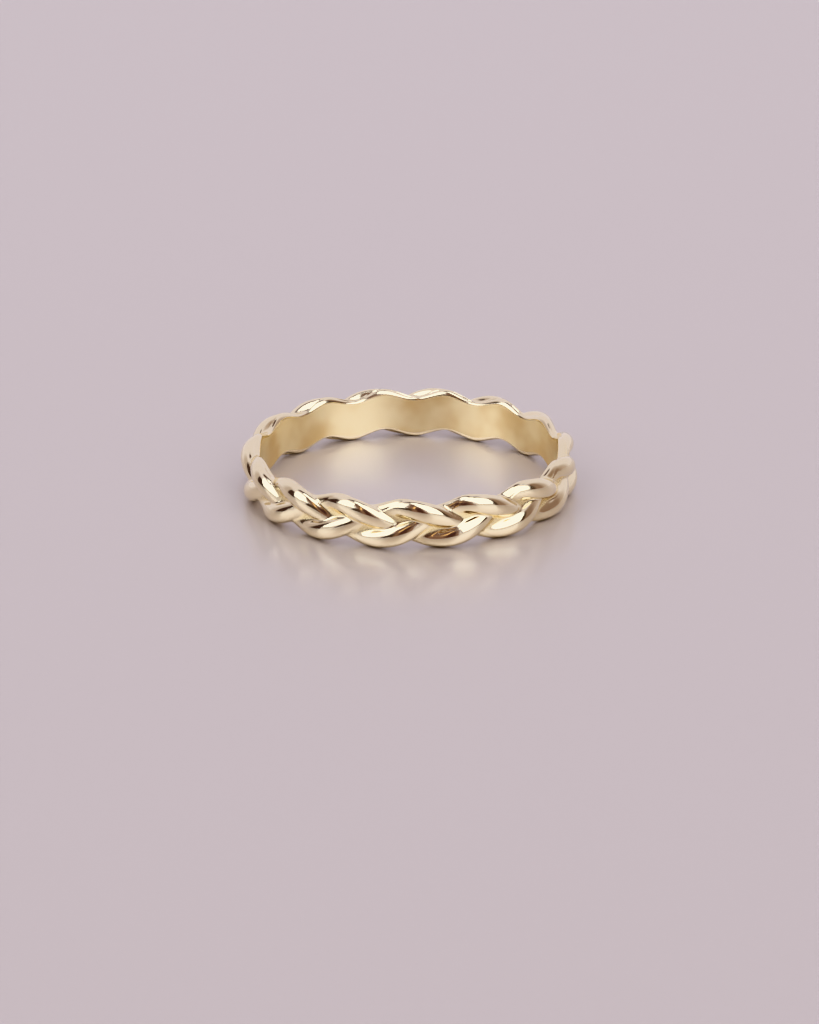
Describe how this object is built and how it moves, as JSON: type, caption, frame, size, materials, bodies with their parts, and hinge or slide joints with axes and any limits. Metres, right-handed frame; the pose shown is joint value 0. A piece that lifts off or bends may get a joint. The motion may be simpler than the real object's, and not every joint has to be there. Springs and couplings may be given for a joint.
{
  "type": "braided band ring",
  "caption": "Finger ring whose band is a braid of three rounded strands cast in one piece with a smooth inner wall.",
  "frame": {"origin": "on the ring's axis, at the level of the surface that its lower scallops rest on", "axes": "+Z along the ring's axis, up out of the finger opening as the ring lies on its side; one scallop of the upper edge points along -Y"},
  "size_m": [0.019, 0.019, 0.0029],
  "materials": {
    "gold": "polished yellow gold outside, satin inside the finger opening"
  },
  "bodies": {
    "root": {"braided_band": "gold"}
  },
  "joints": []
}
